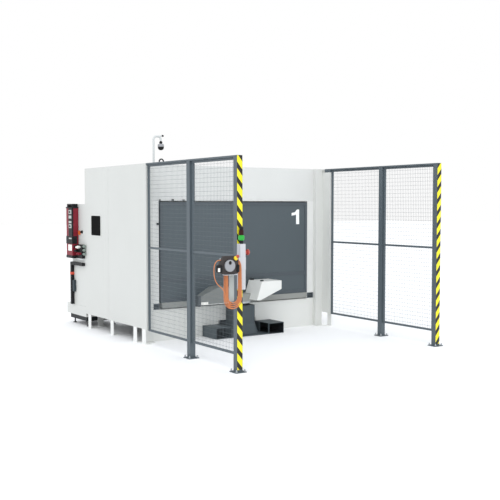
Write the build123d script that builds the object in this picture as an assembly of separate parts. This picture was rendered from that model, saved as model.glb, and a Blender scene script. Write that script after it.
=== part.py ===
from build123d import *
import math
import os

# Robotic welding cell: a closed cabin with a turning two-station table in its
# front opening, two fenced wings that flank the loading bay, and the operator
# and power equipment that hang on it. Lengths are in millimetres.
# X runs to the right along the front, Y into the cabin, Z up. The origin is on
# the floor, on the turning axis of the table, in the plane of the front wall.

# Cabin
CELL_HEIGHT = 2300
HALF_WIDTH = 1525
REAR_Y = 1690
WALL = 40
SIDE_BOTTOM = 200
SIDE_FRONT_Y = -240
SIDE_SEAM_Y = 890
PANEL_GAP = 3
REAR_POST_RUN = 100
ROOF_DROP = 25
ROOF_T = 40

# Front wall
RETURN_T = 30
COLUMN_WIDTH = 120
COLUMN_FRONT_Y = -60
STRIP_WIDTH = 115
HEADER_HEIGHT = 470
PLINTH_TOP = 410
PLINTH_DEPTH = 120

# Window in the rear part of the left side wall
WINDOW_INSET = 388
WINDOW_Z = 1486
WINDOW_WIDTH = 325
WINDOW_HEIGHT = 282
WINDOW_RADIUS = 25
WINDOW_FRAME = 22
WINDOW_LAP = 2
WINDOW_PROUD = 4
GLASS = 8

# Legs under the side and rear walls
FRONT_LEG_INSET = 80
COLUMN_LEG_Y = 95
SEAM_LEG_INSET = 90
REAR_LEG_INSET = 130
REAR_LEG_SIDE_INSET = 225
LEG_WIDTH = 90
LEG_PLATE = 8
FOOT_REACH = 80
COLUMN_FOOT_REACH = 50
FOOT_PLATE = 8

# Wings
POST = 70
POST_WALL = 3
END_POST_FRONT_Y = -2327
MID_POST_Y = -1300
TOP_RAIL = 50
POST_PLATE = 135
POST_PLATE_T = 10
ANCHOR_HOLE_R = 7
ANCHOR_SPACING = 105
FRAME_TUBE = 25
FRAME_BOTTOM = 183
MID_RAIL_Z = 1240
WIRE = 3
WIRE_PITCH = 30

# Positioner
BASE_HALF_WIDTH = 555
BASE_HALF_DEPTH = 335
BASE_HEIGHT = 150
BASE_PLATE = 15
BASE_CLEAR = 8
POCKET_INNER = 300
POCKET_WALL = 8
POCKET_EDGE = 20
POCKET_WINDOW = 205
NOTCH_TOP = 200
PEDESTAL_WIDTH = 360
PEDESTAL_DEPTH = 400
PEDESTAL_DROP = 10
PEDESTAL_FOOT = 50
PEDESTAL_FOOT_HEIGHT = 135
PEDESTAL_ROUND = 50
RING_R = 170
RING_HEIGHT = 29.7
BEARING_GAP = 0.3
TURNTABLE_R = 185
TURNTABLE_T = 25

# Turning screen
SCREEN_GAP = 15
SCREEN_RISE = 45
SCREEN_T = 40
SCREEN_BORDER = 45
SCREEN_PANEL_T = 28
LOWER_BAND = 290
BEAM_INSET = 15
BEAM_HALF_DEPTH = 30
ARCH_CLEAR = 30

# Tables
TABLE_RISE = 20
TABLE_DEPTH = 330
CONSOLE_ROUND = 10
DRIVE_INNER = 300
DRIVE_LENGTH = 500
DRIVE_HEIGHT = 215
DRIVE_SLOPE = 240
DRIVE_END_HEIGHT = 115
FLANGE_T = 30
FLANGE_DROP = 19
FLANGE_HEIGHT = 138
ARM_INNER = 145
ARM_LENGTH = 355
ARM_HEIGHT = 260
ARM_END_RISE = 137
BRIDGE_DEPTH = 140
BRIDGE_HEIGHT = 105

# Operator housing, stack light and emergency stop
HOUSING = 65
HOUSING_BOTTOM = 890
HOUSING_TOP = 1370
LIGHT_R = 27
LIGHT_BASE = 36
LIGHT_TIER = 55
LIGHT_CAP = 34
LIGHT_GROOVE = 1.5
LIGHT_BEVEL = 8
STOP_DROP = 90
STOP_COLLAR_R = 30
STOP_COLLAR_T = 8
STOP_STEM_R = 18
STOP_STEM = 34
STOP_R = 32
STOP_HEAD = 30
STOP_BEVEL = 6

# Pendant and its holder
PENDANT_REACH = 179
PENDANT_WIDTH = 230
PENDANT_HEIGHT = 190
PENDANT_T = 42
PENDANT_ROUND = 30
HUB_R = 58
HUB_T = 18
HUB_HOLE_R = 17
HUB_HOLE_RISE = 30
HUB_HOLE_DEPTH = 12
HOLDER_T = 5
HOLDER_TOP = 1230
HOLDER_ARM_HEIGHT = 130
HANGER_WIDTH = 56
HANGER_HEIGHT = 325
SEAT_HALF = 75
SEAT_DROP = 20
SEAT_HEIGHT = 150
PEG_R = 12
PEG_DROP = 38.3

# Pendant cable: a hank over the peg and two free ends
CABLE_R = 4.5
HANK_REACH = 112
HANK_HALF_WIDTH = 110
HANK_BUNDLE = 46
HANK_HEIGHT = 560
HANK_GAP = 5
HANK_THICK = 40
SEAT_CLEAR = 0.3
GLAND_R = 9
GLAND_LENGTH = 18
BEND_SHARE = 0.45

# Power equipment behind the left side wall
CABINET_WIDTH = 550
CABINET_LENGTH = 490
CABINET_TOP = 1790
BASE_BOX_LENGTH = 720
BASE_BOX_TOP = 300
BASE_BOX_BOTTOM = 100
PLINTH_INSET = 25
SOURCE_PROUD = 100
SOURCE_START = 240
SOURCE_LENGTH = 230
SOURCE_BOTTOM = 1000
SOURCE_ROUND = 10
HANDLE_HEIGHT = 45
HANDLE_INSET = 15
HANDLE_BAR = 18
TRUNK = 45
TRUNK_TOP = 935
CONNECTOR_START = 15
CONNECTOR_LENGTH = 175
CONNECTOR_BOTTOM = 1000
CONNECTOR_HEIGHT = 200
SWITCH_START = 195
SWITCH_Z = 1370
SWITCH_R = 34
SWITCH_T = 10
KNOB_LENGTH = 56
KNOB_WIDTH = 14
KNOB_T = 16

# Camera mast and lifting ring
MAST_INSET = 152
MAST_Y = 200
MAST_RISE = 405
MAST_R = 14
MAST_BEND = 45
MAST_FLANGE_R = 45
MAST_FLANGE_T = 8
CAMERA_REACH = 108
CAMERA_DROP = 60
CAMERA_R = 42
CAMERA_HEIGHT = 120
CAMERA_DOME = 28
CAMERA_BEVEL = 8
LIFT_RING_INSET = 170
LIFT_RING_R = 30
LIFT_RING_T = 9
LIFT_COLLAR_R = 20
LIFT_COLLAR_T = 12


def block(x0, x1, y0, y1, z0, z1):
    size = (abs(x1 - x0), abs(y1 - y0), abs(z1 - z0))
    centre = ((x0 + x1) / 2, (y0 + y1) / 2, (z0 + z1) / 2)
    return Pos(*centre) * Box(*size)


def upright(radius, z0, z1, x=0, y=0):
    return Pos(x, y, (z0 + z1) / 2) * Cylinder(radius, z1 - z0)


def mirrored(shape):
    return mirror(shape, about=Plane.YZ)


def turned(shape):
    return Rot(0, 0, 180) * shape


# A body of revolution about Z from its half profile of (radius, height) points
def lathed(points):
    with BuildPart() as body:
        with BuildSketch(Plane.XZ):
            with BuildLine():
                Polyline(*points, close=True)
            make_face()
        revolve(axis=Axis.Z)
    return body.part


# A rounded plate in the plane of the front wall, from back_y towards the front
def front_plate(width, height, radius, x, z, back_y, thick):
    with BuildPart() as plate:
        with BuildSketch(Plane.XZ.offset(-back_y)):
            with Locations((x, z)):
                RectangleRounded(width, height, radius)
        extrude(amount=thick)
    return plate.part


def save(name, *shapes):
    solids = []
    for shape in shapes:
        solids.extend(shape.solids())
    whole = solids[0] if len(solids) == 1 else Compound(children=solids)
    export_step(whole, "parts/" + name + ".step")


os.makedirs("parts", exist_ok=True)

side_inner = HALF_WIDTH - WALL
post_front_y = REAR_Y - REAR_POST_RUN
roof_top = CELL_HEIGHT - ROOF_DROP
column_outer = side_inner - RETURN_T
column_inner = column_outer - COLUMN_WIDTH
strip_inner = column_inner - STRIP_WIDTH
opening_top = CELL_HEIGHT - HEADER_HEIGHT
rail_bottom = CELL_HEIGHT - TOP_RAIL


# Side walls: a front and a rear panel on each side
def side_front_panel():
    return block(-HALF_WIDTH, -side_inner, SIDE_FRONT_Y, SIDE_SEAM_Y, SIDE_BOTTOM, CELL_HEIGHT)


def side_rear_panel():
    return block(-HALF_WIDTH, -side_inner, SIDE_SEAM_Y + PANEL_GAP, post_front_y, SIDE_BOTTOM, CELL_HEIGHT)


def window_plate(grow, thick, x):
    with BuildPart() as plate:
        with BuildSketch(Plane.YZ.offset(x)):
            with Locations((REAR_Y - WINDOW_INSET, WINDOW_Z)):
                RectangleRounded(WINDOW_WIDTH + 2 * grow, WINDOW_HEIGHT + 2 * grow, WINDOW_RADIUS + grow)
        extrude(amount=thick)
    return plate.part


save("side_panels_front", side_front_panel(), mirrored(side_front_panel()))
window_cut = window_plate(0, WALL + 2, -HALF_WIDTH - 1)
save("side_panel_rear_left", side_rear_panel() - window_cut)
save("side_panel_rear_right", mirrored(side_rear_panel()))

window_frame = window_plate(WINDOW_FRAME, WINDOW_PROUD, -HALF_WIDTH - WINDOW_PROUD)
window_frame = window_frame - window_plate(-WINDOW_LAP, WINDOW_PROUD + 2, -HALF_WIDTH - WINDOW_PROUD - 1)
save("window_frame", window_frame)
save("window_glass", window_plate(0, GLASS, -HALF_WIDTH + WALL / 2))


# Rear corner posts, rear wall and roof
def rear_post():
    outer = block(-HALF_WIDTH, -HALF_WIDTH + REAR_POST_RUN, post_front_y, REAR_Y, SIDE_BOTTOM, CELL_HEIGHT)
    inner = block(-side_inner, 0, 0, REAR_Y - WALL, 0, CELL_HEIGHT + 1)
    return outer - inner


def panel_row(half_width, count, y0, y1, z0, z1):
    width = (2 * half_width - (count - 1) * PANEL_GAP) / count
    starts = [-half_width + i * (width + PANEL_GAP) for i in range(count)]
    return [block(x0, x0 + width, y0, y1, z0, z1) for x0 in starts]


save("rear_corner_posts", rear_post(), mirrored(rear_post()))
rear_half = HALF_WIDTH - REAR_POST_RUN
save("rear_panels", *panel_row(rear_half, 3, REAR_Y - WALL, REAR_Y, SIDE_BOTTOM, CELL_HEIGHT))
save("roof_panels", *panel_row(side_inner, 3, WALL, REAR_Y - WALL, roof_top - ROOF_T, roof_top))

# Front wall: header, strips beside the opening, corner columns, returns and plinth
save("front_header", block(-column_inner, column_inner, 0, WALL, opening_top, CELL_HEIGHT))
front_strip = block(-column_inner, -strip_inner, 0, WALL, PLINTH_TOP, opening_top)
save("front_strips", front_strip, mirrored(front_strip))


def corner_column():
    outer = block(-column_outer, -column_inner, COLUMN_FRONT_Y, WALL, 0, CELL_HEIGHT)
    foot_y = COLUMN_FRONT_Y - COLUMN_FOOT_REACH
    foot = block(-column_outer, -column_inner, foot_y, COLUMN_FRONT_Y, 0, FOOT_PLATE)
    return outer + foot


save("corner_columns", corner_column(), mirrored(corner_column()))
return_panel = block(-side_inner, -column_outer, SIDE_FRONT_Y, WALL, SIDE_BOTTOM, rail_bottom)
save("return_panels", return_panel, mirrored(return_panel))


# The plinth stands clear of the positioner's base and pedestal
def plinth():
    body = block(-column_inner, -PEDESTAL_WIDTH / 2 - BASE_CLEAR, 0, PLINTH_DEPTH, 0, PLINTH_TOP)
    base_notch = block(-BASE_HALF_WIDTH - BASE_CLEAR, 0, -1, PLINTH_DEPTH + 1, -1, BASE_HEIGHT)
    foot_notch = block(-POCKET_INNER - BASE_CLEAR, 0, -1, PLINTH_DEPTH + 1, -1, NOTCH_TOP)
    return body - base_notch - foot_notch


save("front_plinths", plinth(), mirrored(plinth()))


# Legs under the side and rear walls, modelled on the left side at Y = 0
def leg():
    half = LEG_WIDTH / 2
    web_inner = -HALF_WIDTH + LEG_PLATE
    web = block(-HALF_WIDTH, web_inner, -half, half, 0, SIDE_BOTTOM)
    cap = block(web_inner, -side_inner, -half, half, SIDE_BOTTOM - LEG_PLATE, SIDE_BOTTOM)
    foot = block(web_inner, web_inner + FOOT_REACH, -half, half, 0, FOOT_PLATE)
    return web + cap + foot


leg_positions = (SIDE_FRONT_Y + FRONT_LEG_INSET, COLUMN_LEG_Y, SIDE_SEAM_Y - SEAM_LEG_INSET,
                 REAR_Y - REAR_LEG_INSET)
left_legs = [Pos(0, y, 0) * leg() for y in leg_positions]
rear_leg_x = HALF_WIDTH - REAR_LEG_SIDE_INSET
rear_positions = (-rear_leg_x, -rear_leg_x / 3, rear_leg_x / 3, rear_leg_x)
rear_legs = [Pos(x, REAR_Y - HALF_WIDTH, 0) * Rot(0, 0, -90) * leg() for x in rear_positions]
save("wall_legs", *left_legs, *[mirrored(shape) for shape in left_legs], *rear_legs)


# Wing posts, rails and mesh panels
def wing_post(front_y):
    back_y = front_y + POST
    outer = block(-HALF_WIDTH, -HALF_WIDTH + POST, front_y, back_y, POST_PLATE_T, rail_bottom)
    inner = block(-HALF_WIDTH + POST_WALL, -HALF_WIDTH + POST - POST_WALL, front_y + POST_WALL,
                  back_y - POST_WALL, POST_PLATE_T - 1, rail_bottom - POST_WALL)
    x = -HALF_WIDTH + POST / 2
    y = front_y + POST / 2
    half = POST_PLATE / 2
    plate = block(x - half, x + half, y - half, y + half, 0, POST_PLATE_T)
    reach = ANCHOR_SPACING / 2
    for dx in (-reach, reach):
        for dy in (-reach, reach):
            plate = plate - upright(ANCHOR_HOLE_R, -1, POST_PLATE_T + 1, x + dx, y + dy)
    return outer - inner + plate


mid_post_front = MID_POST_Y - POST / 2
save("end_posts", wing_post(END_POST_FRONT_Y), mirrored(wing_post(END_POST_FRONT_Y)))
save("mid_posts", wing_post(mid_post_front), mirrored(wing_post(mid_post_front)))


def top_rail():
    outer = block(-HALF_WIDTH, -HALF_WIDTH + POST, END_POST_FRONT_Y, SIDE_FRONT_Y, rail_bottom, CELL_HEIGHT)
    inner = block(-HALF_WIDTH + POST_WALL, -HALF_WIDTH + POST - POST_WALL, END_POST_FRONT_Y + POST_WALL,
                  SIDE_FRONT_Y - POST_WALL, rail_bottom + POST_WALL, CELL_HEIGHT - POST_WALL)
    return outer - inner


save("top_rails", top_rail(), mirrored(top_rail()))


def mesh_panel(y0, y1):
    x = -HALF_WIDTH + POST / 2
    half = FRAME_TUBE / 2
    panel = block(x - half, x + half, y0, y1, FRAME_BOTTOM, rail_bottom)
    fields = ((FRAME_BOTTOM + FRAME_TUBE, MID_RAIL_Z - half), (MID_RAIL_Z + half, rail_bottom - FRAME_TUBE))
    for low, high in fields:
        panel = panel - block(x - half - 1, x + half + 1, y0 + FRAME_TUBE, y1 - FRAME_TUBE, low, high)
    count = int((y1 - y0 - 2 * FRAME_TUBE) // WIRE_PITCH)
    first = (y0 + y1 - (count - 1) * WIRE_PITCH) / 2
    wires = []
    for i in range(count):
        y = first + i * WIRE_PITCH
        wires.append(block(x - WIRE / 2, x + WIRE / 2, y - WIRE / 2, y + WIRE / 2, FRAME_BOTTOM + half,
                           rail_bottom - half))
    return panel.fuse(*wires)


inner_mesh = mesh_panel(MID_POST_Y + POST / 2, SIDE_FRONT_Y)
outer_mesh = mesh_panel(END_POST_FRONT_Y + POST, mid_post_front)
save("mesh_inner_left", inner_mesh)
save("mesh_inner_right", mirrored(inner_mesh))
save("mesh_outer_left", outer_mesh)
save("mesh_outer_right", mirrored(outer_mesh))


# Positioner base with two fork pockets, whose inner walls are open on both sides of the middle
def pocket_tube():
    z0 = POCKET_WALL
    z1 = BASE_HEIGHT - POCKET_WALL
    tube = block(POCKET_INNER, BASE_HALF_WIDTH, -BASE_HALF_DEPTH, BASE_HALF_DEPTH, 0, BASE_HEIGHT)
    hole = block(POCKET_INNER + POCKET_WALL, BASE_HALF_WIDTH - POCKET_WALL, -BASE_HALF_DEPTH - 1,
                 BASE_HALF_DEPTH + 1, z0, z1)
    window_y = -BASE_HALF_DEPTH + POCKET_EDGE
    window = block(POCKET_INNER - 1, POCKET_INNER + POCKET_WALL + 1, window_y, window_y + POCKET_WINDOW,
                   BASE_PLATE, z1)
    return tube - hole - window - mirror(window, about=Plane.XZ)


base = block(-POCKET_INNER, POCKET_INNER, -BASE_HALF_DEPTH, BASE_HALF_DEPTH, 0, BASE_PLATE)
base = base + pocket_tube() + mirrored(pocket_tube())
save("positioner_base", base)

# Pedestal with a flared foot, and the slewing ring on it
pedestal_top = PLINTH_TOP - PEDESTAL_DROP
foot_top = BASE_PLATE + PEDESTAL_FOOT_HEIGHT
with BuildPart() as pedestal:
    with BuildSketch(Plane.XY.offset(BASE_PLATE)):
        RectangleRounded(PEDESTAL_WIDTH + 2 * PEDESTAL_FOOT, PEDESTAL_DEPTH + 2 * PEDESTAL_FOOT,
                         PEDESTAL_ROUND + PEDESTAL_FOOT)
    with BuildSketch(Plane.XY.offset(foot_top)):
        RectangleRounded(PEDESTAL_WIDTH, PEDESTAL_DEPTH, PEDESTAL_ROUND)
    loft()
    with BuildSketch(Plane.XY.offset(foot_top)):
        RectangleRounded(PEDESTAL_WIDTH, PEDESTAL_DEPTH, PEDESTAL_ROUND)
    extrude(amount=pedestal_top - foot_top)
save("pedestal", pedestal.part)
ring_top = pedestal_top + RING_HEIGHT
save("slewing_ring", upright(RING_R, pedestal_top, ring_top))

# Turntable, beam and screen
turntable_bottom = ring_top + BEARING_GAP
turntable_top = turntable_bottom + TURNTABLE_T
save("turntable", upright(TURNTABLE_R, turntable_bottom, turntable_top))

screen_half = strip_inner - SCREEN_GAP
screen_bottom = turntable_top + SCREEN_RISE
screen_top = opening_top - SCREEN_GAP
beam_half = screen_half - BEAM_INSET
beam_bottom = PLINTH_TOP + SCREEN_GAP
arch_half = TURNTABLE_R + ARCH_CLEAR
beam = block(-beam_half, beam_half, -BEAM_HALF_DEPTH, BEAM_HALF_DEPTH, beam_bottom, screen_bottom)
arch = block(-arch_half, arch_half, -BEAM_HALF_DEPTH - 1, BEAM_HALF_DEPTH + 1, beam_bottom - 1, turntable_top)
save("screen_beam", beam - arch)

half_t = SCREEN_T / 2
half_p = SCREEN_PANEL_T / 2
edge_x = screen_half - SCREEN_BORDER
joint_z = screen_bottom + LOWER_BAND
sheets = ((screen_bottom + SCREEN_BORDER, joint_z - SCREEN_BORDER / 2),
          (joint_z + SCREEN_BORDER / 2, screen_top - SCREEN_BORDER))
screen_frame = block(-screen_half, screen_half, -half_t, half_t, screen_bottom, screen_top)
for z0, z1 in sheets:
    screen_frame = screen_frame - block(-edge_x, edge_x, -half_t - 1, half_t + 1, z0, z1)
save("screen_frame", screen_frame)
save("screen_panels", *[block(-edge_x, edge_x, -half_p, half_p, z0, z1) for z0, z1 in sheets])

# Tables: a drive console, an arm console and the bridge between them, on each face of the screen
table_back = -BEAM_HALF_DEPTH
table_front = table_back - TABLE_DEPTH
table_bottom = turntable_top + TABLE_RISE


def console(points):
    with BuildPart() as body:
        with BuildSketch(Plane.XZ.offset(-table_back)):
            with BuildLine():
                Polyline(*points, close=True)
            make_face()
        extrude(amount=TABLE_DEPTH)
        fillet(body.edges(), radius=CONSOLE_ROUND)
    return body.part


drive_outer = DRIVE_INNER + DRIVE_LENGTH
drive_top = table_bottom + DRIVE_HEIGHT
drive_console = console([
    (-drive_outer, table_bottom),
    (-drive_outer, table_bottom + DRIVE_END_HEIGHT),
    (-drive_outer + DRIVE_SLOPE, drive_top),
    (-DRIVE_INNER, drive_top),
    (-DRIVE_INNER, table_bottom),
])
save("drive_consoles", drive_console, turned(drive_console))

flange_bottom = table_bottom - FLANGE_DROP
drive_flange = block(-drive_outer - FLANGE_T, -drive_outer, table_front, table_back, flange_bottom,
                     flange_bottom + FLANGE_HEIGHT)
save("drive_flanges", drive_flange, turned(drive_flange))

arm_top = table_bottom + ARM_HEIGHT
arm_console = console([
    (ARM_INNER, table_bottom),
    (ARM_INNER, arm_top),
    (ARM_INNER + ARM_LENGTH, arm_top),
    (ARM_INNER + ARM_LENGTH, table_bottom + ARM_END_RISE),
])
save("arm_consoles", arm_console, turned(arm_console))

bridge = block(-DRIVE_INNER, ARM_INNER, table_back - BRIDGE_DEPTH, table_back, turntable_top,
               turntable_top + BRIDGE_HEIGHT)
save("table_bridges", bridge, turned(bridge))

# Operator housing on the left end post
housing_x0 = -HALF_WIDTH
housing_x1 = housing_x0 + HOUSING
housing_front = END_POST_FRONT_Y - HOUSING
housing_x = housing_x0 + HOUSING / 2
housing_y = housing_front + HOUSING / 2
save("control_housing", block(housing_x0, housing_x1, housing_front, END_POST_FRONT_Y, HOUSING_BOTTOM,
                              HOUSING_TOP))

# Stack light: a base, two lamp tiers and a cap, with a groove at each joint
light_joints = (LIGHT_BASE, LIGHT_BASE + LIGHT_TIER, LIGHT_BASE + 2 * LIGHT_TIER)
light_height = light_joints[2] + LIGHT_CAP
groove_r = LIGHT_R - LIGHT_GROOVE
light_profile = [(0, 0), (LIGHT_R, 0)]
for joint in light_joints:
    low = joint - LIGHT_GROOVE
    high = joint + LIGHT_GROOVE
    light_profile.extend([(LIGHT_R, low), (groove_r, low), (groove_r, high), (LIGHT_R, high)])
light_profile.append((LIGHT_R, light_height - LIGHT_BEVEL))
light_profile.extend([(LIGHT_R - LIGHT_BEVEL, light_height), (0, light_height)])
save("stack_light", Pos(housing_x, housing_y, HOUSING_TOP) * lathed(light_profile))

# Emergency stop: a mushroom button on a collar, on the inner face of the housing
stop_end = STOP_STEM + STOP_HEAD
stop_profile = [
    (0, 0),
    (STOP_COLLAR_R, 0),
    (STOP_COLLAR_R, STOP_COLLAR_T),
    (STOP_STEM_R, STOP_COLLAR_T),
    (STOP_STEM_R, STOP_STEM),
    (STOP_R - STOP_BEVEL, STOP_STEM),
    (STOP_R, STOP_STEM + STOP_BEVEL),
    (STOP_R, stop_end - 2 * STOP_BEVEL),
    (STOP_R - 2 * STOP_BEVEL, stop_end),
    (0, stop_end),
]
stop_z = HOUSING_TOP - STOP_DROP
save("emergency_stop", Pos(housing_x1, housing_y, stop_z) * Rot(0, 90, 0) * lathed(stop_profile))

# Holder on the housing: an arm, a strip that hangs from it, a peg and the pendant's seat
pendant_x = -HALF_WIDTH - PENDANT_REACH
hank_x = -HALF_WIDTH - HANK_REACH
arm_y0 = housing_front - HOLDER_T
hank_y1 = arm_y0 - HANK_GAP
hank_y0 = hank_y1 - HANK_THICK
seat_y1 = hank_y0 - HANK_GAP
seat_y0 = seat_y1 - HOLDER_T
seat_top = HOLDER_TOP - SEAT_DROP
seat_bottom = seat_top - SEAT_HEIGHT
pendant_bottom = seat_bottom + HOLDER_T
arm_bottom = HOLDER_TOP - HOLDER_ARM_HEIGHT
hanger_x0 = hank_x - HANGER_WIDTH / 2
hanger_x1 = hank_x + HANGER_WIDTH / 2
peg_z = HOLDER_TOP - PEG_DROP
arm = block(pendant_x - SEAT_HALF, housing_x1, arm_y0, housing_front, arm_bottom, HOLDER_TOP)
hanger = block(hanger_x0, hanger_x1, arm_y0, housing_front, arm_bottom - HANGER_HEIGHT, arm_bottom)
peg = Pos(hank_x, (seat_y1 + arm_y0) / 2, peg_z) * Rot(90, 0, 0) * Cylinder(PEG_R, arm_y0 - seat_y1)
seat = block(pendant_x - SEAT_HALF, hanger_x1, seat_y0, seat_y1, seat_bottom, seat_top)
lip = block(pendant_x - SEAT_HALF, pendant_x + SEAT_HALF, seat_y0 - PENDANT_T, seat_y0, seat_bottom,
            pendant_bottom)
save("pendant_holder", arm + hanger + peg + seat + lip)

# Teach pendant: a rounded tablet with a round hub and its pocket on the outer side
pendant_z = pendant_bottom + PENDANT_HEIGHT / 2
pendant_back = seat_y0 - PENDANT_T
pendant = front_plate(PENDANT_WIDTH, PENDANT_HEIGHT, PENDANT_ROUND, pendant_x, pendant_z, seat_y0, PENDANT_T)
hub = Pos(pendant_x, pendant_back - HUB_T / 2, pendant_z) * Rot(90, 0, 0) * Cylinder(HUB_R, HUB_T)
hole_y = pendant_back - HUB_T + HUB_HOLE_DEPTH / 2
hole_z = pendant_z + HUB_HOLE_RISE
hub_hole = Pos(pendant_x, hole_y, hole_z) * Rot(90, 0, 0) * Cylinder(HUB_HOLE_R, HUB_HOLE_DEPTH)
save("teach_pendant", pendant + hub - hub_hole)

# Pendant cable: the hank's outer shape and the two free ends
hank_top = peg_z + PEG_R + SEAT_CLEAR + HANK_BUNDLE
hank_z = hank_top - HANK_HEIGHT / 2


def stadium(inset):
    half = HANK_HALF_WIDTH - inset
    return front_plate(2 * half, HANK_HEIGHT - 2 * inset, half - 1, hank_x, hank_z, hank_y1, HANK_THICK)


save("cable_hank", stadium(0) - stadium(HANK_BUNDLE))

gland_z = HOUSING_BOTTOM - GLAND_LENGTH
save("cable_gland", upright(GLAND_R, gland_z, HOUSING_BOTTOM, housing_x, housing_y))


def cord_tube(points):
    runs = [math.dist(a, b) for a, b in zip(points, points[1:])]
    turns = [(Vector(*b) - Vector(*a)).get_angle(Vector(*c) - Vector(*b))
             for a, b, c in zip(points, points[1:], points[2:])]
    radii = []
    for before, after, turn in zip(runs, runs[1:], turns):
        radii.append(BEND_SHARE * min(before, after) / math.tan(math.radians(turn / 2)))
    path = FilletPolyline(*points, radius=radii)
    print("cord radii", [round(r) for r in radii], "runs", [round(r) for r in runs])
    start = Plane(origin=path @ 0, z_dir=path % 0)
    return sweep(start * Circle(CABLE_R), path=path)


# From the gland down into the right side of the hank
housing_route = [(0, 0, 0), (0, 0, -42), (-14, -16, -76), (-42, -44, -100), (-66, -60, -118),
                 (-90, -62, -142)]
housing_tail = [(housing_x + dx, housing_y + dy, gland_z + dz) for dx, dy, dz in housing_route]
save("cable_end_housing", cord_tube(housing_tail))

# From the pendant's left side, in a loose bow down into the left side of the hank
pendant_route = [(0, 0, 150), (-28, 0, 150), (-53, 1, 138), (-69, 3, 113), (-74, 8, 77), (-72, 14, 35),
                 (-65, 20, -9), (-50, 27, -51), (-25, 34, -89), (9, 40, -119), (49, 46, -142), (88, 50, -164)]
pendant_x0 = pendant_x - PENDANT_WIDTH / 2
pendant_y = seat_y0 - PENDANT_T / 2
pendant_tail = [(pendant_x0 + dx, pendant_y + dy, pendant_bottom + dz) for dx, dy, dz in pendant_route]
save("cable_end_pendant", cord_tube(pendant_tail))

# Power equipment behind the left side wall: the cabinet on its base
cabinet_x1 = -HALF_WIDTH + CABINET_WIDTH
base_box_y1 = REAR_Y + BASE_BOX_LENGTH
save("cabinet_plinth", block(-HALF_WIDTH + PLINTH_INSET, cabinet_x1 - PLINTH_INSET, REAR_Y + PLINTH_INSET,
                             base_box_y1 - PLINTH_INSET, 0, BASE_BOX_BOTTOM))
save("cabinet_base", block(-HALF_WIDTH, cabinet_x1, REAR_Y, base_box_y1, BASE_BOX_BOTTOM, BASE_BOX_TOP))
cabinet_y1 = REAR_Y + CABINET_LENGTH
save("control_cabinet", block(-HALF_WIDTH, cabinet_x1, REAR_Y, cabinet_y1, BASE_BOX_TOP, CABINET_TOP))

# Welding power source with its carrying handle, on the cabinet's outer side
source_x0 = -HALF_WIDTH - SOURCE_PROUD
source_y0 = REAR_Y + SOURCE_START
source_y1 = source_y0 + SOURCE_LENGTH
case_top = CABINET_TOP - HANDLE_HEIGHT
source_case = block(source_x0, -HALF_WIDTH, source_y0, source_y1, SOURCE_BOTTOM, case_top)
source_case = fillet(source_case.edges().filter_by(Axis.Z), radius=SOURCE_ROUND)
handle_x0 = source_x0 + HANDLE_INSET
handle_x1 = -HALF_WIDTH - HANDLE_INSET
handle_y0 = source_y0 + HANDLE_INSET
handle_y1 = source_y1 - HANDLE_INSET
handle = block(handle_x0, handle_x1, handle_y0, handle_y1, case_top, CABINET_TOP)
grip = block(handle_x0 - 1, handle_x1 + 1, handle_y0 + HANDLE_BAR, handle_y1 - HANDLE_BAR, case_top,
             CABINET_TOP - HANDLE_BAR)
save("power_source", source_case + (handle - grip))

# Cable trunk, connector box and main switch
trunk_x = -HALF_WIDTH - TRUNK
connector_y0 = REAR_Y + CONNECTOR_START
trunk = block(trunk_x, -HALF_WIDTH, connector_y0, source_y1, TRUNK_TOP - TRUNK, TRUNK_TOP)
trunk = trunk + block(trunk_x, -HALF_WIDTH, source_y1 - TRUNK, source_y1, BASE_BOX_TOP, TRUNK_TOP)
save("cable_trunk", trunk)
save("connector_box", block(trunk_x, -HALF_WIDTH, connector_y0, connector_y0 + CONNECTOR_LENGTH,
                            CONNECTOR_BOTTOM, CONNECTOR_BOTTOM + CONNECTOR_HEIGHT))
switch = lathed([(0, 0), (SWITCH_R, 0), (SWITCH_R, SWITCH_T), (0, SWITCH_T)])
knob = block(-KNOB_LENGTH / 2, KNOB_LENGTH / 2, -KNOB_WIDTH / 2, KNOB_WIDTH / 2, SWITCH_T, SWITCH_T + KNOB_T)
save("main_switch", Pos(-HALF_WIDTH, REAR_Y + SWITCH_START, SWITCH_Z) * Rot(0, -90, 0) * (switch + knob))

# Camera mast on the roof
mast_x = -column_inner + MAST_INSET
mast_top = roof_top + MAST_RISE
camera_x = mast_x + CAMERA_REACH
camera_top = mast_top - CAMERA_DROP
mast_line = FilletPolyline((mast_x, MAST_Y, roof_top + MAST_FLANGE_T), (mast_x, MAST_Y, mast_top),
                           (camera_x, MAST_Y, mast_top), (camera_x, MAST_Y, camera_top), radius=MAST_BEND)
mast_start = Plane(origin=mast_line @ 0, z_dir=mast_line % 0)
mast = sweep(mast_start * Circle(MAST_R), path=mast_line)
mast = mast + upright(MAST_FLANGE_R, roof_top, roof_top + MAST_FLANGE_T, mast_x, MAST_Y)
save("camera_mast", mast)

camera = upright(CAMERA_R, camera_top - CAMERA_HEIGHT, camera_top, camera_x, MAST_Y)
camera = fillet(camera.edges().sort_by(Axis.Z)[0], radius=CAMERA_DOME)
camera = chamfer(camera.edges().sort_by(Axis.Z)[-1], length=CAMERA_BEVEL)
save("roof_camera", camera)

# Lifting ring on the header
lift_x = -column_inner + LIFT_RING_INSET
lift_y = WALL / 2
collar_top = CELL_HEIGHT + LIFT_COLLAR_T
lifting_ring = Pos(lift_x, lift_y, collar_top + LIFT_RING_R) * Rot(90, 0, 0) * Torus(LIFT_RING_R, LIFT_RING_T)
save("lifting_ring", lifting_ring + upright(LIFT_COLLAR_R, CELL_HEIGHT, collar_top, lift_x, lift_y))
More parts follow.
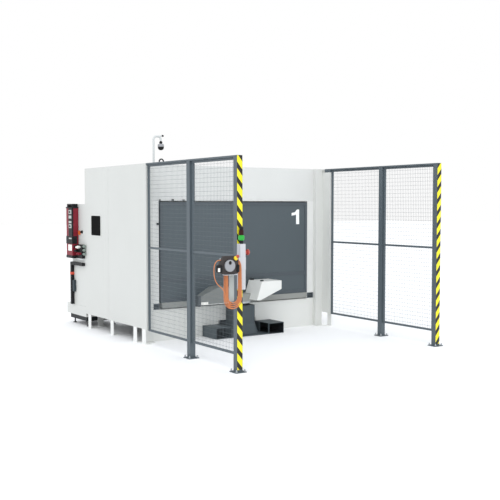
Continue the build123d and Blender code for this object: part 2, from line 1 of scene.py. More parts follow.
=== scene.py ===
# %% [markdown]
# A robotic welding cell, dressed for a picture. The solids come packed from the
# CAD side and stay where they are. This lesson gives each one the finish that the
# real piece has, then adds what is too fine to be worth a solid: wires, tape,
# bolts, lamps, grips and the pendant's cable.

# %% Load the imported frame
import math
import bpy
from mathutils import Matrix, Vector


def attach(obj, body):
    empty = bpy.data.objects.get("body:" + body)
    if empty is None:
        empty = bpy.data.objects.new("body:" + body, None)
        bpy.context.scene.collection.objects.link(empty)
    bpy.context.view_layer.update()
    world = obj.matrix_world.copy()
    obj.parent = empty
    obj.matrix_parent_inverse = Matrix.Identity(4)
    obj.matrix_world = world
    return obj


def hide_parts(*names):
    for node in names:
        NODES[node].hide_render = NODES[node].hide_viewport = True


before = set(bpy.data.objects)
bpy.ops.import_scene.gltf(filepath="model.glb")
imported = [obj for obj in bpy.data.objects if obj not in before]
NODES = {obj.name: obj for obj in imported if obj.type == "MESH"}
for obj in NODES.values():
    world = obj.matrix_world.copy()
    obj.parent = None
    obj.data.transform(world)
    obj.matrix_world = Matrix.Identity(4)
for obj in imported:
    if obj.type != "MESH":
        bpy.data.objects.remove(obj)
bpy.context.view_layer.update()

# %% [markdown]
# The camera comes first, since every later choice is judged through it. Its place,
# turn and lens were solved from the edges of the cabin in the photograph: a
# camera at eye height, about twelve metres away, turned 34 degrees to the right.

# %% Camera
camera_data = bpy.data.cameras.new("photo_camera")
camera = bpy.data.objects.new("photo_camera", camera_data)
bpy.context.scene.collection.objects.link(camera)
bpy.context.scene.camera = camera
camera_data.sensor_width = 36
camera_data.lens = 60.17
camera.location = (-6.321, -9.666, 1.777)
camera.rotation_euler = (math.radians(86.916), 0, math.radians(-34.057))
print("camera at", tuple(round(v, 2) for v in camera.location))

# %% [markdown]
# Two small tools serve every material. One turns a colour as a paint chart gives
# it (sRGB hex) into the linear numbers that a shader works with. The other adds a
# node, sets its inputs and joins it to earlier nodes in one line.

# %% Colour and node helpers
def linear(hex_colour):
    channels = []
    for i in (0, 2, 4):
        c = int(hex_colour[i:i + 2], 16) / 255
        channels.append(c / 12.92 if c <= 0.04045 else ((c + 0.055) / 1.055) ** 2.4)
    return (*channels, 1.0)


def add_node(mat, kind, settings=None, links=None):
    node = mat.node_tree.nodes.new(kind)
    for key, value in (settings or {}).items():
        if isinstance(key, int) or key in node.inputs:
            node.inputs[key].default_value = value
        else:
            setattr(node, key, value)
    for key, output in (links or {}).items():
        mat.node_tree.links.new(output, node.inputs[key])
    return node


def new_material(name, hex_colour, roughness, metallic=0.0, ior=1.5):
    mat = bpy.data.materials.new(name)
    mat.use_nodes = True
    shader = mat.node_tree.nodes["Principled BSDF"]
    shader.inputs["Base Color"].default_value = linear(hex_colour)
    shader.inputs["Roughness"].default_value = roughness
    shader.inputs["Metallic"].default_value = metallic
    if metallic == 0.0:
        shader.inputs["IOR"].default_value = ior
    return mat, shader


def join(mat, output, socket):
    mat.node_tree.links.new(output, socket)


print("white as the shader sees it", [round(c, 3) for c in linear("F0F1EE")])

# %% [markdown]
# Powder-coated sheet steel covers most of the cell. Dry powder is baked on, so it
# is even in colour, half matt, and has a fine orange peel. The peel is about 3 mm
# wide, far below a pixel here, so it only stirs the roughness. What the eye does
# see is the sheet itself: it waves by a few tenths of a millimetre over half a
# metre, and dust settles unevenly, which shifts the tone a little.

# %% Powder coat
PEEL_PER_M = 320.0
DUST_PER_M = 1.6
SWELL_PER_M = 2.2
SWELL_DEPTH = 0.0006


def powder_coat(name, hex_colour, roughness=0.42, tone=0.03, wave=0.35):
    mat, shader = new_material(name, hex_colour, roughness)
    place = add_node(mat, "ShaderNodeTexCoord").outputs["Object"]
    dust = add_node(mat, "ShaderNodeTexNoise", {"Scale": DUST_PER_M, "Detail": 3.0}, {"Vector": place})
    shade = add_node(mat, "ShaderNodeMapRange", {"To Min": 1.0 - tone, "To Max": 1.0 + tone},
                     {"Value": dust.outputs["Fac"]})
    tint = add_node(mat, "ShaderNodeHueSaturation", {"Color": linear(hex_colour)},
                    {"Value": shade.outputs["Result"]})
    join(mat, tint.outputs["Color"], shader.inputs["Base Color"])
    peel = add_node(mat, "ShaderNodeTexNoise", {"Scale": PEEL_PER_M, "Detail": 1.0}, {"Vector": place})
    sheen = add_node(mat, "ShaderNodeMapRange", {"To Min": roughness - 0.05, "To Max": roughness + 0.08},
                     {"Value": peel.outputs["Fac"]})
    join(mat, sheen.outputs["Result"], shader.inputs["Roughness"])
    swell = add_node(mat, "ShaderNodeTexNoise", {"Scale": SWELL_PER_M, "Detail": 0.0}, {"Vector": place})
    bump = add_node(mat, "ShaderNodeBump", {"Strength": wave, "Distance": SWELL_DEPTH},
                    {"Height": swell.outputs["Fac"]})
    join(mat, bump.outputs["Normal"], shader.inputs["Normal"])
    return mat


print("powder coat: orange peel at", round(1000 / PEEL_PER_M, 1), "mm")

# %% [markdown]
# Each painted part gets its own coat. Most of the cell is one white paint, but each
# part here has its own tone of it, set so that the part comes out as bright as the
# real light shows it: painted light and shade. A number after the colour makes a
# coat glossier or duller.

# %% Colours of the powder coats
cabin_white = powder_coat("powder_coat_cabin_white", "CACBC7")
header_white = powder_coat("powder_coat_header_white", "D5D6D3")
strip_white = powder_coat("powder_coat_strip_white", "DFE0DD")
# Column and plinth are white like the rest of the cabin; their tones are painted light and shade.
column_white = powder_coat("powder_coat_column_white", "D5D6D2")
plinth_white = powder_coat("powder_coat_plinth_white", "DBDCD8", 0.38)
beam_grey = powder_coat("powder_coat_beam_grey", "8F918D")
console_white = powder_coat("powder_coat_console_white", "E3E4E0", 0.36)
console_grey = powder_coat("powder_coat_console_grey", "767976", 0.4)
base_graphite = powder_coat("powder_coat_base_graphite", "414B50", 0.5)
flange_graphite = powder_coat("powder_coat_flange_graphite", "4C5256", 0.45)
fence_graphite = powder_coat("powder_coat_fence_graphite", "505A60", 0.45)
wire_graphite = powder_coat("powder_coat_fence_wire", "626B70", 0.45)
screen_blue_grey = powder_coat("powder_coat_screen_blue_grey", "4A5459", 0.5, 0.05)
screen_edge = powder_coat("powder_coat_screen_edge", "474F55", 0.45)
housing_grey = powder_coat("powder_coat_housing_grey", "C4C5C8", 0.4)
leg_white = powder_coat("powder_coat_leg_white", "E4E5E2")
holder_grey = powder_coat("powder_coat_holder_grey", "A6ACA9", 0.45)
cover_grey = powder_coat("powder_coat_cover_grey", "A9ABB0", 0.4)
# Painted shade: a near-black tone for the inside of the fork channels.
channel_painted_shade = powder_coat("painted_shade_fork_channels", "1E2226", 0.6)
source_red = powder_coat("powder_coat_source_red", "7C1F2C", 0.4)
mast_grey = powder_coat("powder_coat_mast_grey", "C9CCCB", 0.4)
# Painted shade: near black for the cabinet's plinth channel, where the gap under its base lies in shade.
plinth_painted_shade = powder_coat("painted_shade_plinth_black", "26282A", 0.55)
print("powder coats made")

# %% [markdown]
# The rest of the finishes. Moulded black plastic is slightly grained. The cable's
# polyurethane sheath is orange and satin. Bolts and eyes are zinc-plated steel, a
# metal with a thin bluish coat whose crystals vary the gloss. Lamp lenses are
# coloured plastic over a dark inside.

# %% Plastics, rubber, glass and plated steel
GRAIN_PER_M = 400.0
GRAIN_DEPTH = 0.0003
SPANGLE_PER_M = 90.0


def moulded(name, hex_colour, roughness):
    mat, shader = new_material(name, hex_colour, roughness)
    place = add_node(mat, "ShaderNodeTexCoord").outputs["Object"]
    pits = add_node(mat, "ShaderNodeTexNoise", {"Scale": GRAIN_PER_M, "Detail": 2.0}, {"Vector": place})
    bump = add_node(mat, "ShaderNodeBump", {"Strength": 0.4, "Distance": GRAIN_DEPTH},
                    {"Height": pits.outputs["Fac"]})
    join(mat, bump.outputs["Normal"], shader.inputs["Normal"])
    wear = add_node(mat, "ShaderNodeMapRange", {"To Min": roughness - 0.06, "To Max": roughness + 0.1},
                    {"Value": pits.outputs["Fac"]})
    join(mat, wear.outputs["Result"], shader.inputs["Roughness"])
    return mat


def plated(name, hex_colour, roughness):
    mat, shader = new_material(name, hex_colour, roughness, metallic=1.0)
    place = add_node(mat, "ShaderNodeTexCoord").outputs["Object"]
    spangle = add_node(mat, "ShaderNodeTexVoronoi", {"Scale": SPANGLE_PER_M}, {"Vector": place})
    wear = add_node(mat, "ShaderNodeMapRange", {"To Min": roughness - 0.08, "To Max": roughness + 0.12},
                    {"Value": spangle.outputs["Distance"]})
    join(mat, wear.outputs["Result"], shader.inputs["Roughness"])
    return mat


print("finishes for plastic and metal ready")

# %% [markdown]
# Every plastic, rubber and metal is named for what it is on the real cell, so that
# one look at the list tells what a piece would be bought as. The colours are those
# of the material in even light, and a harder gloss marks a lens or a hard shell.

# %% Colours of plastics and metals
black_abs = moulded("abs_black", "17181A", 0.5)
pendant_dark = moulded("abs_pendant_dark", "3A3534", 0.5)
hub_grey = moulded("abs_hub_grey", "97989B", 0.45)
display_grey = moulded("polycarbonate_display_grey", "A9B2AC", 0.3)
clamp_red = moulded("polyamide_clamp_red", "CF4B33", 0.4)
sleeve_blue = moulded("rubber_sleeve_blue_black", "27343A", 0.6)
stop_red = moulded("polyamide_stop_red", "A94036", 0.35)
stop_yellow = moulded("polyamide_stop_yellow", "E8C81E", 0.4)
switch_orange = moulded("polyamide_switch_orange", "C8642C", 0.4)
cable_orange = moulded("polyurethane_cable_orange", "C97D4D", 0.5)
tag_white = moulded("abs_white", "F2F1EA", 0.4)
connector_green = moulded("polyamide_connector_grey_green", "7D8A82", 0.5)
lens_green = moulded("polycarbonate_lens_green", "17932B", 0.3)
lens_red = moulded("polycarbonate_lens_red", "2E0505", 0.45)
numeral_white = moulded("vinyl_numeral_white", "F7F8F7", 0.5)
zinc_steel = plated("steel_zinc_plated", "B9BEC2", 0.35)
black_steel = plated("steel_blackened", "3B3D40", 0.45)
print("plastics and metals made")

# %% [markdown]
# Dusty dark pieces would look grey under a white sky, because a smooth coat mirrors
# a share of it. Fine dust and a coarse grain break that mirror up, so their specular
# level is halved. The green lamp is lit, and glows a little. The window is a tinted
# safety pane with a matt anti-glare foil, so it stays nearly black.

# %% Dark finishes, the lit lamp and the window
# The painted shade inside the fork channels takes the same low specular level.
for dark in (black_abs, pendant_dark, source_red, channel_painted_shade, plinth_painted_shade, lens_red):
    dark.node_tree.nodes["Principled BSDF"].inputs["Specular IOR Level"].default_value = 0.25
lamp_shader = lens_green.node_tree.nodes["Principled BSDF"]
lamp_shader.inputs["Emission Color"].default_value = linear("1FB53A")
lamp_shader.inputs["Emission Strength"].default_value = 0.2

window_glass, glass_shader = new_material("glass_welding_tint", "0B0C0D", 0.5, ior=1.52)
glass_shader.inputs["Specular IOR Level"].default_value = 0.02
ripple_place = add_node(window_glass, "ShaderNodeTexCoord").outputs["Object"]
ripple = add_node(window_glass, "ShaderNodeTexNoise", {"Scale": 6.0}, {"Vector": ripple_place})
ripple_bump = add_node(window_glass, "ShaderNodeBump", {"Strength": 0.15, "Distance": 0.0005},
                       {"Height": ripple.outputs["Fac"]})
join(window_glass, ripple_bump.outputs["Normal"], glass_shader.inputs["Normal"])
print("materials", len(bpy.data.materials))

# %% [markdown]
# Guard tape is a vinyl band printed in yellow and black slants that repeat every
# 150 mm. A slant is a line where height plus a share of the width is constant, so
# one sum of two coordinates, wrapped to its period, draws them all. The left band
# falls to the right and the right band rises, so that both point to the bay. A
# shift moves the first slant to the height at which the photograph shows it.

# %% Warning tape material
TAPE_PERIOD = 0.15
TAPE_BLACK = 0.068
TAPE_SHIFT = 0.04
TAPE_SLOPE = 1.25


def guard_tape(name, fall):
    mat, shader = new_material(name, "F2E21C", 0.45)
    place = add_node(mat, "ShaderNodeTexCoord")
    axes = add_node(mat, "ShaderNodeSeparateXYZ", links={0: place.outputs["Object"]})
    slant = add_node(mat, "ShaderNodeMath", {"operation": "MULTIPLY", 1: fall}, {0: axes.outputs["X"]})
    total = add_node(mat, "ShaderNodeMath", {"operation": "ADD"},
                     {0: slant.outputs[0], 1: axes.outputs["Z"]})
    phased = add_node(mat, "ShaderNodeMath", {"operation": "ADD", 1: TAPE_SHIFT}, {0: total.outputs[0]})
    wrapped = add_node(mat, "ShaderNodeMath", {"operation": "WRAP", 1: TAPE_PERIOD, 2: 0.0},
                       {0: phased.outputs[0]})
    dark = add_node(mat, "ShaderNodeMath", {"operation": "LESS_THAN", 1: TAPE_BLACK},
                    {0: wrapped.outputs[0]})
    paint = add_node(mat, "ShaderNodeMix", {"data_type": "RGBA"}, {"Factor": dark.outputs[0]})
    paint.inputs[6].default_value = linear("F4E61E")
    paint.inputs[7].default_value = linear("1B1A16")
    join(mat, paint.outputs[2], shader.inputs["Base Color"])
    return mat


tape_falling = guard_tape("vinyl_tape_falling", TAPE_SLOPE)
tape_rising = guard_tape("vinyl_tape_rising", -TAPE_SLOPE)
print("tape period", TAPE_PERIOD, "m")

# %% [markdown]
# Each solid takes the finish of the real piece. A list of names beside each
# material keeps the whole paint plan on one page, and a count at the end shows
# that no solid was forgotten.

# %% Paint plan
PAINT = {
    cabin_white: ["side_panels_front", "side_panel_rear_left", "side_panel_rear_right", "rear_panels",
                  "roof_panels", "rear_corner_posts", "window_frame", "cabinet_base", "control_cabinet"],
    header_white: ["front_header"],
    strip_white: ["front_strips"],
    column_white: ["corner_columns", "return_panels"],
    plinth_white: ["front_plinths"],
    beam_grey: ["screen_beam", "table_bridges"],
    leg_white: ["wall_legs"],
    console_white: ["arm_consoles"],
    console_grey: ["drive_consoles"],
    base_graphite: ["positioner_base", "pedestal"],
    flange_graphite: ["drive_flanges"],
    fence_graphite: ["end_posts", "mid_posts", "top_rails", "mesh_inner_left", "mesh_inner_right",
                     "mesh_outer_left", "mesh_outer_right"],
    screen_blue_grey: ["screen_panels"],
    screen_edge: ["screen_frame"],
    housing_grey: ["control_housing", "pendant_holder"],
    source_red: ["power_source"],
    mast_grey: ["camera_mast"],
    plinth_painted_shade: ["cabinet_plinth"],
    black_abs: ["cable_trunk", "connector_box", "roof_camera", "cable_gland", "stack_light"],
    pendant_dark: ["teach_pendant"],
    stop_red: ["emergency_stop"],
    switch_orange: ["main_switch"],
    cable_orange: ["cable_hank", "cable_end_housing", "cable_end_pendant"],
    black_steel: ["slewing_ring", "lifting_ring"],
    zinc_steel: ["turntable"],
    window_glass: ["window_glass"],
}
for paint, names in PAINT.items():
    for name in names:
        NODES[name].data.materials.clear()
        NODES[name].data.materials.append(paint)
painted = sum(len(names) for names in PAINT.values())
print("painted", painted, "of", len(NODES))

# %% [markdown]
# Fine pieces are built from plain numbers. A folded bracket or a bar has flat sides
# and broken edges, and many of them can share one mesh. A bevel modifier breaks the
# edges, because it keeps the mesh simple and its width easy to change.

# %% Piece maker: bars
def put(name, mesh, material, body):
    obj = bpy.data.objects.new(name, mesh)
    bpy.context.scene.collection.objects.link(obj)
    obj.data.materials.append(material)
    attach(obj, body)
    return obj


def break_edges(obj, width, segments):
    """Folded and moulded pieces have no sharp edges; a bevel rounds them all alike."""
    if width:
        bevel = obj.modifiers.new("broken_edges", "BEVEL")
        bevel.width = width
        bevel.segments = segments
    return obj


BAR_FACES = ((0, 1, 3, 2), (4, 6, 7, 5), (0, 4, 5, 1), (2, 3, 7, 6), (0, 2, 6, 4), (1, 5, 7, 3))


def bars(name, boxes, material, body, edge=0.0):
    """Straight bars and plates, each between two corners given as x0, x1, y0, y1, z0, z1."""
    verts, faces = [], []
    for x0, x1, y0, y1, z0, z1 in boxes:
        n = len(verts)
        verts += [(x, y, z) for x in (x0, x1) for y in (y0, y1) for z in (z0, z1)]
        faces += [[n + i for i in face] for face in BAR_FACES]
    mesh = bpy.data.meshes.new(name)
    mesh.from_pydata(verts, [], faces)
    return break_edges(put(name, mesh, material, body), edge, 2)


print("bars have", len(BAR_FACES), "faces each")

# %% [markdown]
# A console, a shell or a cut numeral is an outline with depth. Its points are given
# once, as seen from the front, and repeated at the back. The back can lean or taper,
# and the whole can be turned half round for the second station.

# %% Piece maker: outlines with depth
def prism(name, outlines, front, back, material, body, edge=0.0, turns=(1,)):
    """Plates cut to an outline of (x, z) and given depth; back is a number or a function of x."""
    verts, faces = [], []
    for turn in turns:
        for outline in outlines:
            n = len(verts)
            count = len(outline)
            verts += [(turn * x, turn * front, z) for x, z in outline]
            verts += [(turn * x, turn * (back(x) if callable(back) else back), z) for x, z in outline]
            faces.append([n + i for i in range(count)])
            faces.append([n + count + i for i in reversed(range(count))])
            for i in range(count):
                after = (i + 1) % count
                faces.append((n + i, n + count + i, n + count + after, n + after))
    mesh = bpy.data.meshes.new(name)
    mesh.from_pydata(verts, [], faces)
    return break_edges(put(name, mesh, material, body), edge, 3)


print("outlines can be given depth")

# %% [markdown]
# A wire is a thin straight rod. Six sides look round at its size, and a hundred of
# them in one mesh stay light. A quaternion turns each rod's rim square to its
# direction, whichever way it runs.

# %% Piece maker: rods
def rods(name, ends, radius, material, body, sides=6):
    """Straight round rods, each from one point to another, in one mesh."""
    verts, faces = [], []
    for start, end in ends:
        start, end = Vector(start), Vector(end)
        turn = (end - start).to_track_quat("Z", "Y")
        n = len(verts)
        for i in range(sides):
            a = 2 * math.pi * i / sides
            rim = turn @ Vector((radius * math.cos(a), radius * math.sin(a), 0))
            verts += [start + rim, end + rim]
        for i in range(sides):
            after = (i + 1) % sides
            faces.append((n + 2 * i, n + 2 * after, n + 2 * after + 1, n + 2 * i + 1))
        faces.append([n + 2 * i for i in reversed(range(sides))])
        faces.append([n + 2 * i + 1 for i in range(sides)])
    mesh = bpy.data.meshes.new(name)
    mesh.from_pydata(verts, [], faces)
    return put(name, mesh, material, body)


print("rods ready")

# %% [markdown]
# A bolt head, a lamp or a plug is turned on a lathe, so it is a half outline spun
# about its axis. A screw modifier would do the same, but plain points let one mesh
# hold a whole row of bolts. Only edges sharper than 35 degrees stay sharp.

# %% Piece maker: turned pieces
SHARP = math.radians(35)
QUARTER = math.radians(90)
AXES = {"Z": Matrix(), "X": Matrix.Rotation(QUARTER, 4, "Y"), "-X": Matrix.Rotation(-QUARTER, 4, "Y"),
        "-Y": Matrix.Rotation(QUARTER, 4, "X")}


def turned(name, outline, places, axis, material, body, steps=32):
    """Turned pieces: an outline of (radius, height) spun about an axis at each of the places."""
    verts, faces = [], []
    rows = len(outline)
    for place in places:
        start = len(verts)
        move = Matrix.Translation(place) @ AXES[axis]
        for i in range(steps):
            a = 2 * math.pi * i / steps
            verts += [move @ Vector((r * math.cos(a), r * math.sin(a), h)) for r, h in outline]
        for i in range(steps):
            for j in range(rows - 1):
                a = start + i * rows + j
                b = start + (i + 1) % steps * rows + j
                faces.append((a, b, b + 1, a + 1))
        faces.append([start + i * rows for i in reversed(range(steps))])
        faces.append([start + i * rows + rows - 1 for i in range(steps)])
    mesh = bpy.data.meshes.new(name)
    mesh.from_pydata(verts, [], faces)
    mesh.shade_smooth()
    mesh.set_sharp_from_angle(angle=SHARP)
    return put(name, mesh, material, body)


print("turned pieces along", list(AXES))

# %% [markdown]
# A guard fence panel is a frame of square tube with wires welded across it: upright
# ones 30 mm apart, level ones 50 mm apart. The wires are only 2.4 mm thick and round,
# so they are made here as thin rods and take the place of the plainer solid. The
# level ones lie one wire's thickness further in, as welded mesh has it.

# %% Fence panels
FENCE_X = 1.49
TUBE = 0.025
WIRE_R = 0.0012
UPRIGHT_PITCH = 0.03
LEVEL_PITCH = 0.05
PANEL_FOOT = 0.183
PANEL_TOP = 2.28
MID_TUBE_Z = 1.24
PANELS_Y = {"outer": (-2.257, -1.335), "inner": (-1.265, -0.24)}


def spread(low, high, pitch):
    """Places at a fixed pitch, centred between two ends."""
    count = int((high - low) / pitch)
    start = (low + high - (count - 1) * pitch) / 2
    return [start + i * pitch for i in range(count)]


half = TUBE / 2
for side, label in ((-1, "left"), (1, "right")):
    x = side * FENCE_X
    for panel, (y0, y1) in PANELS_Y.items():
        levels = (PANEL_FOOT + half, MID_TUBE_Z, PANEL_TOP - half)
        tubes = [(x - half, x + half, y0 + TUBE, y1 - TUBE, z - half, z + half) for z in levels]
        tubes += [(x - half, x + half, y, y + TUBE, PANEL_FOOT, PANEL_TOP) for y in (y0, y1 - TUBE)]
        frame_piece = bars("mesh_frame_" + panel + "_" + label, tubes, fence_graphite, "cell", 0.002)
        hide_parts("mesh_" + panel + "_" + label)
        wires = []
        near, far = y0 + half, y1 - half
        inner_x = x - side * 2 * WIRE_R
        for low, high in zip(levels, levels[1:]):
            wires += [((x, y, low), (x, y, high)) for y in spread(near, far, UPRIGHT_PITCH)]
            wires += [((inner_x, near, z), (inner_x, far, z)) for z in spread(low, high, LEVEL_PITCH)]
        rods("mesh_wires_" + panel + "_" + label, wires, WIRE_R, wire_graphite, "cell")
print("wires in a panel", len(wires))

# %% [markdown]
# A flat rail ties the posts together at the top. In the photograph it is only as
# deep as a finger and runs on over the corner panel to the column, so a slim rail
# takes the place of the plain one, with a block that brings each post up to it.

# %% Top rails
RAIL_Z = (2.28, 2.3)
RAIL_X = (1.455, 1.525)
STUB_X = (1.455, 1.485)
POST_FRONTS = (-2.327, -1.335)
POST_WIDTH = 0.07
POST_TOP = 2.25
RAIL_END = -0.24
COLUMN_FACE = -0.112


def on_side(side, pair):
    """Two places left (-1) or right (1) of the middle, the smaller number first."""
    return sorted(side * x for x in pair)


rail_bars = []
for side in (-1, 1):
    x0, x1 = on_side(side, RAIL_X)
    rail_bars.append((x0, x1, POST_FRONTS[0], RAIL_END, *RAIL_Z))
    rail_bars += [(x0, x1, y, y + POST_WIDTH, POST_TOP, RAIL_Z[0]) for y in POST_FRONTS]
    rail_bars.append((*on_side(side, STUB_X), RAIL_END, COLUMN_FACE, POST_TOP + 0.001, RAIL_Z[1]))
fence_rail = bars("fence_top_rails", rail_bars, fence_graphite, "cell", 0.002)
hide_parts("top_rails")
print("rails at", RAIL_Z)

# %% [markdown]
# The tape runs down the front face of both end posts, from the top rail to just
# above the foot plate. It is a band half a millimetre thick, a little narrower
# than the post, so that its edges don't lift.

# %% Warning tape
TAPE_Y = (POST_FRONTS[0] - 0.0006, POST_FRONTS[0] - 0.0001)
TAPE_Z = (0.03, 2.297)
TAPE_HALF = 0.033
for side, label, tape in ((-1, "left", tape_falling), (1, "right", tape_rising)):
    x = side * FENCE_X
    bars("warning_tape_" + label, [(x - TAPE_HALF, x + TAPE_HALF, *TAPE_Y, *TAPE_Z)], tape, "cell")
print("tape from", TAPE_Z[0], "to", TAPE_Z[1])

# %% [markdown]
# Every foot plate is held by four floor anchors. Each shows a washer, a nut and
# the end of its stud. One outline holds all three, and six sides give the nut.

# %% Floor anchors
ANCHOR = [(0.012, 0.0), (0.012, 0.0025), (0.0105, 0.0025), (0.0105, 0.0115), (0.0065, 0.0125),
          (0.0065, 0.026), (0.0055, 0.027)]
POSTS = [(side * FENCE_X, y + POST_WIDTH / 2) for side in (-1, 1) for y in POST_FRONTS]
HOLE_OFFSETS = [(dx, dy) for dx in (-0.0525, 0.0525) for dy in (-0.0525, 0.0525)]
FOOT_PLATE_TOP = 0.01
anchor_places = [(x + dx, y + dy, FOOT_PLATE_TOP) for x, y in POSTS for dx, dy in HOLE_OFFSETS]
turned("floor_anchors", ANCHOR, anchor_places, "Z", zinc_steel, "cell", steps=12)
print("anchors", len(anchor_places))

# %% [markdown]
# A plain numeral marks each station on the turning screen. It is cut from white
# vinyl and stuck on the sheet, so it has almost no thickness. The one is drawn as
# its cutter's outline; the two is on the far side, where the photograph shows
# nothing, and follows the same stroke width and height.

# %% Station numerals
VINYL = (-0.0146, -0.0141)
ONE = [(1.008, 1.5), (1.063, 1.5), (1.063, 1.712), (1.024, 1.712), (0.985, 1.672), (0.927, 1.662),
       (0.927, 1.622), (1.008, 1.638)]
prism("station_numeral_1", [ONE], *VINYL, numeral_white, "turning_table")


def numeral_two(left, foot):
    """The outline of a 2: an arch, a slanting stroke and a foot."""
    bow, hollow, middle = 0.07, 0.022, 0.142

    def arc(radius, angles):
        return [(bow - radius * math.cos(a), middle + radius * math.sin(a)) for a in angles]

    outline = arc(bow, (0.0, 0.7, 1.4, 2.1, 2.8, 3.5))
    outline += [(0.075, 0.045), (0.14, 0.045), (0.14, 0.0), (0.0, 0.0), (0.0, 0.045)]
    outline += arc(hollow, (3.4, 2.8, 2.1, 1.4, 0.7, 0.0))
    return [(left + x, foot + z) for x, z in outline]


TWO = numeral_two(0.925, 1.5)
prism("station_numeral_2", [TWO], *VINYL, numeral_white, "turning_table", turns=(-1,))
print("numerals on both stations")

# %% [markdown]
# The consoles carry the work piece between them. The photograph shows more of their
# sheet-metal shape than the plain solids do: the white one leans outwards to its
# foot like a hopper, and the grey one runs out to a narrow tip because its back
# corner is cut off. Each is an outline with depth, and both stations get a pair.

# %% Consoles of both stations
CONSOLE_FRONT = -0.36
CONSOLE_BACK = -0.03
TIP_BACK = -0.24
TIP_X = -0.8
ROOT_X = -0.3
ARM_OUTLINE = [(0.086, 0.48), (0.15, 0.48), (0.5, 0.617), (0.5, 0.735), (0.17, 0.735)]
DRIVE_OUTLINE = [(TIP_X, 0.482), (ROOT_X, 0.482), (ROOT_X, 0.69), (-0.54, 0.69), (TIP_X, 0.59)]
SOLE_OUTLINE = [(TIP_X, 0.475), (ROOT_X, 0.475), (ROOT_X, 0.482), (TIP_X, 0.482)]
FLANGE_OUTLINE = [(-0.83, 0.456), (TIP_X, 0.456), (TIP_X, 0.594), (-0.83, 0.594)]
STATIONS = (1, -1)


def drive_back(x):
    """The grey console's back runs from its narrow tip to the screen."""
    return TIP_BACK + (x - TIP_X) * (CONSOLE_BACK - TIP_BACK) / (ROOT_X - TIP_X)


arm_shells = prism("arm_console_shells", [ARM_OUTLINE], CONSOLE_FRONT, CONSOLE_BACK, console_white,
                   "turning_table", 0.006, STATIONS)
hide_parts("arm_consoles")
drive_shells = prism("drive_console_shells", [DRIVE_OUTLINE], CONSOLE_FRONT, drive_back, console_grey,
                     "turning_table", 0.01, STATIONS)
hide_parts("drive_consoles")
prism("drive_console_soles", [SOLE_OUTLINE], CONSOLE_FRONT, drive_back, console_white, "turning_table",
      0.002, STATIONS)
flange_plates = prism("drive_flange_plates", [FLANGE_OUTLINE], CONSOLE_FRONT, TIP_BACK, flange_graphite,
                      "turning_table", 0.003, STATIONS)
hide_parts("drive_flanges")
print("console outlines", 4)

# %% [markdown]
# Two small details sit on the consoles: a white end plate at the foot of the grey
# one, and a pair of black clamp blocks on top of the white one. A half turn about
# the upright axis carries a box from one station to the other.

# %% Console end plates and clamps
END_PLATES = [(-0.795, -0.69, -0.3632, -0.3602, 0.477, 0.512)]
CLAMPS = [(0.175, 0.225, -0.085, -0.045, 0.735, 0.755), (0.175, 0.215, -0.335, -0.3, 0.735, 0.752)]


def at_both_stations(boxes):
    """The boxes and the same ones after half a turn of the table."""
    return boxes + [(-x1, -x0, -y1, -y0, z0, z1) for x0, x1, y0, y1, z0, z1 in boxes]


bars("console_end_plates", at_both_stations(END_PLATES), tag_white, "turning_table", 0.001)
bars("console_clamps", at_both_stations(CLAMPS), black_abs, "turning_table", 0.004)
print("clamp blocks", len(at_both_stations(CLAMPS)))

# %% [markdown]
# The fork channels of the base look nearly black inside, since little light gets
# in. A near-black plate a millimetre thick on their floor, roof and outer wall
# paints that shade in. Above the plinth a grille closes the foot of each white strip,
# and small black blocks sit on the header's lower edge.

# %% Painted shade in the fork channels, sill grilles and small blocks
CHANNEL_X = (0.3085, 0.5465)
CHANNEL_Y = (-0.334, 0.334)
PAINTED_SHADE_FLOOR = (0.0081, 0.0091)
PAINTED_SHADE_ROOF = (0.1409, 0.1419)
PAINTED_SHADE_WALL_X = (0.5457, 0.5467)
SILL_X = (1.222, 1.333)
SILL_Z = (0.412, 0.492)
SLOTS_Z = (0.425, 0.446, 0.467)
painted_shade_plates, grille_plates, grille_slots = [], [], []
for side in (-1, 1):
    painted_shade_plates += [(*on_side(side, CHANNEL_X), *CHANNEL_Y, *face_z) for face_z in (PAINTED_SHADE_FLOOR, PAINTED_SHADE_ROOF)]
    painted_shade_plates.append((*on_side(side, PAINTED_SHADE_WALL_X), *CHANNEL_Y, 0.0092, 0.1408))
    x0, x1 = on_side(side, SILL_X)
    grille_plates.append((x0, x1, -0.003, -0.0005, *SILL_Z))
    grille_slots += [(x0 + 0.012, x1 - 0.012, -0.0036, -0.003, z, z + 0.011) for z in SLOTS_Z]
# These plates paint the shade inside the fork channels.
bars("fork_channel_painted_shade", painted_shade_plates, channel_painted_shade, "cell")
bars("sill_grilles", grille_plates, fence_graphite, "cell", 0.001)
bars("sill_grille_slots", grille_slots, black_abs, "cell")
HEADER_BLOCKS = [(-1.213, -1.195, -0.014, -0.0005, 1.834, 1.848),
                 (-1.028, -0.998, -0.016, -0.0005, 1.832, 1.852),
                 (-0.868, -0.835, -0.014, -0.0005, 1.834, 1.848),
                 (-1.25, -1.226, -0.014, -0.0005, 1.518, 1.545)]
bars("header_blocks", HEADER_BLOCKS, black_abs, "cell", 0.002)
print("painted_shade_plates", len(painted_shade_plates), "grilles", len(grille_plates), "blocks", len(HEADER_BLOCKS))

# %% [markdown]
# The operator's housing carries a lamp stack. It shows one lit green tier, a dark
# red one above it and a black cap. Each tier is a turned ring, and the green lens
# stands proud of the others, as the photograph has it. Two thin cover plates close
# the hanger's front and the housing's side.

# %% Lamp stack and housing cover
STACK = (-1.4925, -2.3595, 1.37)


def tier(name, radius, low, high, material, waist=0.003):
    """One ring of the stack, with rounded rims, between two heights above the housing."""
    rim = radius - waist
    outline = [(rim, low), (radius, low + waist), (radius, high - waist), (rim, high)]
    return turned(name, outline, [STACK], "Z", material, "cell")


